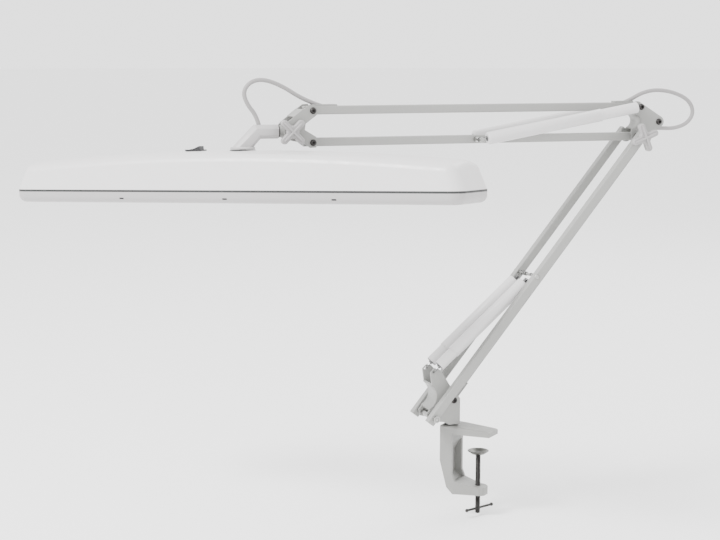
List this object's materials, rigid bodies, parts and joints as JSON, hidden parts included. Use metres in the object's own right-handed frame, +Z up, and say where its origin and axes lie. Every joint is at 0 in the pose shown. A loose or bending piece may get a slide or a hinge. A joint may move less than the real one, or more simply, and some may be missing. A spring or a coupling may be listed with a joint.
{
  "type": "swing arm desk lamp",
  "caption": "Clamp-on desk lamp: spring-balanced parallelogram arms carry a long linear light head that tilts, rolls and swivels on its neck.",
  "frame": {"origin": "centre of the desk face, the underside of the clamp's upper jaw, which rests on the desk top", "axes": "+Z up, +X from the clamp's spine towards the tips of its jaws, +Y to the left of +X"},
  "size_m": [0.6937, 0.4904, 0.5331],
  "materials": {
    "painted_metal_light": "satin light grey powder coat",
    "painted_clamp": "satin grey powder coat on a casting",
    "zinc_steel": "bright zinc plated fasteners",
    "dark_steel": "dark oiled steel",
    "white_shade": "satin white moulded head shell",
    "cover_plastic": "satin white tube covers",
    "knob_plastic": "satin light grey moulded knobs",
    "black_rubber": "matt black gaskets and bushes",
    "black_plastic": "satin black switch and latches",
    "cable_pvc": "light grey cable sheath",
    "opal_diffuser": "opal light window",
    "board": "white light strip boards",
    "spring_steel": "oiled spring wire"
  },
  "bodies": {
    "clamp": {"clamp_frame": "painted_clamp", "swivel_bush": "black_rubber"},
    "pad": {"pressure_pad": "zinc_steel"},
    "screw": {"clamp_screw": "dark_steel"},
    "tommy": {"tommy_bar": "dark_steel"},
    "base": {"base_bracket": "painted_metal_light", "swivel_post": "zinc_steel", "lower_pivot_pin": "zinc_steel", "lower_pivot_nuts": "zinc_steel", "base_spacers": "zinc_steel", "link_pivot_bolt": "zinc_steel"},
    "lower_arm": {"lower_tube_front": "painted_metal_light", "lower_tube_rear": "painted_metal_light", "lower_tube_plugs": "cover_plastic", "lower_cross_pin": "zinc_steel"},
    "lower_link": {"lower_cable_tube": "painted_metal_light", "lower_cable_clip": "cover_plastic", "lower_cable_run": "cable_pvc"},
    "lower_small": {"lower_small_covers": "cover_plastic", "lower_springs": "spring_steel"},
    "lower_large": {"lower_large_covers": "cover_plastic"},
    "elbow": {"elbow_bracket": "painted_metal_light", "elbow_knob_bolt": "zinc_steel", "elbow_bolts": "zinc_steel", "elbow_spacers": "zinc_steel", "elbow_cable_loop": "cable_pvc"},
    "elbow_knob_body": {"elbow_knob": "knob_plastic"},
    "upper_bottom": {"upper_bottom_tube": "painted_metal_light", "upper_tube_plugs": "cover_plastic", "upper_cross_pin": "zinc_steel"},
    "upper_top": {"upper_top_tube": "painted_metal_light", "upper_top_plugs": "cover_plastic", "upper_cable_clips": "cover_plastic", "upper_cable_run": "cable_pvc"},
    "upper_small": {"upper_small_covers": "cover_plastic", "upper_springs": "spring_steel"},
    "upper_large": {"upper_large_covers": "cover_plastic"},
    "head_joint": {"head_bracket": "painted_metal_light", "head_pivot_bolts": "zinc_steel", "head_spacers": "zinc_steel", "head_knob_bolt": "zinc_steel", "head_cable_loop": "cable_pvc"},
    "head_knob_body": {"head_knob": "knob_plastic"},
    "tilt": {"tilt_block": "painted_metal_light", "serrated_washer": "dark_steel", "roll_bolt": "dark_steel"},
    "neck_body": {"neck": "painted_metal_light"},
    "head": {"shade": "white_shade", "flange_gasket": "black_rubber", "seam_gasket": "black_rubber", "lower_trim": "white_shade", "latch_tabs": "black_plastic", "diffuser": "opal_diffuser", "gear_tray": "zinc_steel", "led_strips": "board", "led_driver": "opal_diffuser", "terminal_block": "black_plastic", "switch_body": "black_plastic", "swivel_bolt": "zinc_steel"},
    "rocker": {"switch_rocker": "black_plastic"}
  },
  "joints": [
    {"name": "pad_slide", "type": "slide", "parent": "clamp", "child": "pad", "axis": [0, 0, 1], "range_m": [-0.03, 0.014]},
    {"name": "screw_turn", "type": "hinge", "parent": "pad", "child": "screw", "pos_m": [0.004, 0, -0.06], "axis": [0, 0, 1], "range_deg": [-7230, 3390]},
    {"name": "tommy_slide", "type": "slide", "parent": "screw", "child": "tommy", "axis": [0.342, 0.9397, 0], "range_m": [-0.019, 0.013]},
    {"name": "base_swivel", "type": "hinge", "parent": "clamp", "child": "base", "pos_m": [-0.032, 0, 0.005], "axis": [0, 0, 1], "range_deg": [-170, 170]},
    {"name": "lower_arm_tilt", "type": "hinge", "parent": "base", "child": "lower_arm", "pos_m": [-0.05492, -0.02374, 0.024], "axis": [0.7193, -0.6947, 0], "range_deg": [-1, 51]},
    {"name": "lower_link_tilt", "type": "hinge", "parent": "base", "child": "lower_link", "pos_m": [-0.03408, -0.00216, 0.042], "axis": [0.7193, -0.6947, 0], "range_deg": [0, 50]},
    {"name": "lower_cover_tilt", "type": "hinge", "parent": "base", "child": "lower_small", "pos_m": [-0.05319, -0.02194, 0.0785], "axis": [0.7193, -0.6947, 0], "range_deg": [-1, 66.1], "deforming": ["lower_springs"]},
    {"name": "lower_cover_slide", "type": "slide", "parent": "lower_small", "child": "lower_large", "axis": [0.5198, 0.5382, 0.6635], "range_m": [-0.01583, 0.001]},
    {"name": "elbow_level", "type": "hinge", "parent": "lower_link", "child": "elbow", "pos_m": [0.15308, 0.19166, 0.37712], "axis": [0.7193, -0.6947, 0], "range_deg": [-51, 1], "deforming": ["elbow_cable_loop"]},
    {"name": "elbow_knob_turn", "type": "hinge", "parent": "elbow", "child": "elbow_knob_body", "pos_m": [0.15598, 0.14716, 0.35912], "axis": [0.7193, -0.6947, 0], "range_deg": [-180, 180]},
    {"name": "upper_arm_tilt", "type": "hinge", "parent": "elbow", "child": "upper_bottom", "pos_m": [0.13224, 0.17008, 0.35912], "axis": [0.7193, -0.6947, 0], "range_deg": [-31, 31]},
    {"name": "upper_top_tilt", "type": "hinge", "parent": "elbow", "child": "upper_top", "pos_m": [0.13224, 0.17008, 0.39612], "axis": [0.7193, -0.6947, 0], "range_deg": [-30, 30]},
    {"name": "upper_cover_tilt", "type": "hinge", "parent": "elbow", "child": "upper_small", "pos_m": [0.13224, 0.17008, 0.39612], "axis": [0.7193, -0.6947, 0], "range_deg": [-30.3, 30.3], "deforming": ["upper_springs"]},
    {"name": "upper_cover_slide", "type": "slide", "parent": "upper_small", "child": "upper_large", "axis": [-0.6842, -0.7085, -0.1727], "range_m": [-0.01927, 0.01927]},
    {"name": "head_level", "type": "hinge", "parent": "upper_top", "child": "head_joint", "pos_m": [-0.15812, -0.1306, 0.39612], "axis": [0.7193, -0.6947, 0], "range_deg": [-31, 31]},
    {"name": "head_knob_turn", "type": "hinge", "parent": "head_joint", "child": "head_knob_body", "pos_m": [-0.16463, -0.16038, 0.372], "axis": [0.7193, -0.6947, 0], "range_deg": [-180, 180]},
    {"name": "head_tilt", "type": "hinge", "parent": "head_joint", "child": "tilt", "pos_m": [-0.17614, -0.14926, 0.372], "axis": [0.7193, -0.6947, 0], "range_deg": [-40, 15], "deforming": ["head_cable_loop"]},
    {"name": "head_roll", "type": "hinge", "parent": "tilt", "child": "neck_body", "pos_m": [-0.18413, -0.15754, 0.372], "axis": [-0.6947, -0.7193, 0], "range_deg": [-30, 15]},
    {"name": "head_swivel", "type": "hinge", "parent": "neck_body", "child": "head", "pos_m": [-0.214, -0.18847, 0.351], "axis": [-0.0346, 0.0448, 0.9984], "range_deg": [-60, 90]},
    {"name": "switch_rock", "type": "hinge", "parent": "head", "child": "rocker", "pos_m": [-0.27582, -0.19279, 0.34904], "axis": [0.0682, -0.9966, 0.0471], "range_deg": [-0.5, 16]}
  ],
  "couplings": [
    {"joint": "screw_turn", "follows": "pad_slide", "rad_per_m": 4188.8},
    {"joint": "lower_arm_tilt", "follows": "lower_link_tilt", "ratio": 1},
    {"joint": "elbow_level", "follows": "lower_link_tilt", "ratio": -1},
    {"joint": "lower_cover_tilt", "follows": "lower_link_tilt", "ratio": 1.301},
    {"joint": "lower_cover_slide", "follows": "lower_link_tilt", "m_per_rad": -0.017},
    {"joint": "upper_arm_tilt", "follows": "upper_top_tilt", "ratio": 1},
    {"joint": "head_level", "follows": "upper_top_tilt", "ratio": -1},
    {"joint": "upper_cover_tilt", "follows": "upper_top_tilt", "ratio": 0.975},
    {"joint": "upper_cover_slide", "follows": "upper_top_tilt", "m_per_rad": 0.0349}
  ]
}
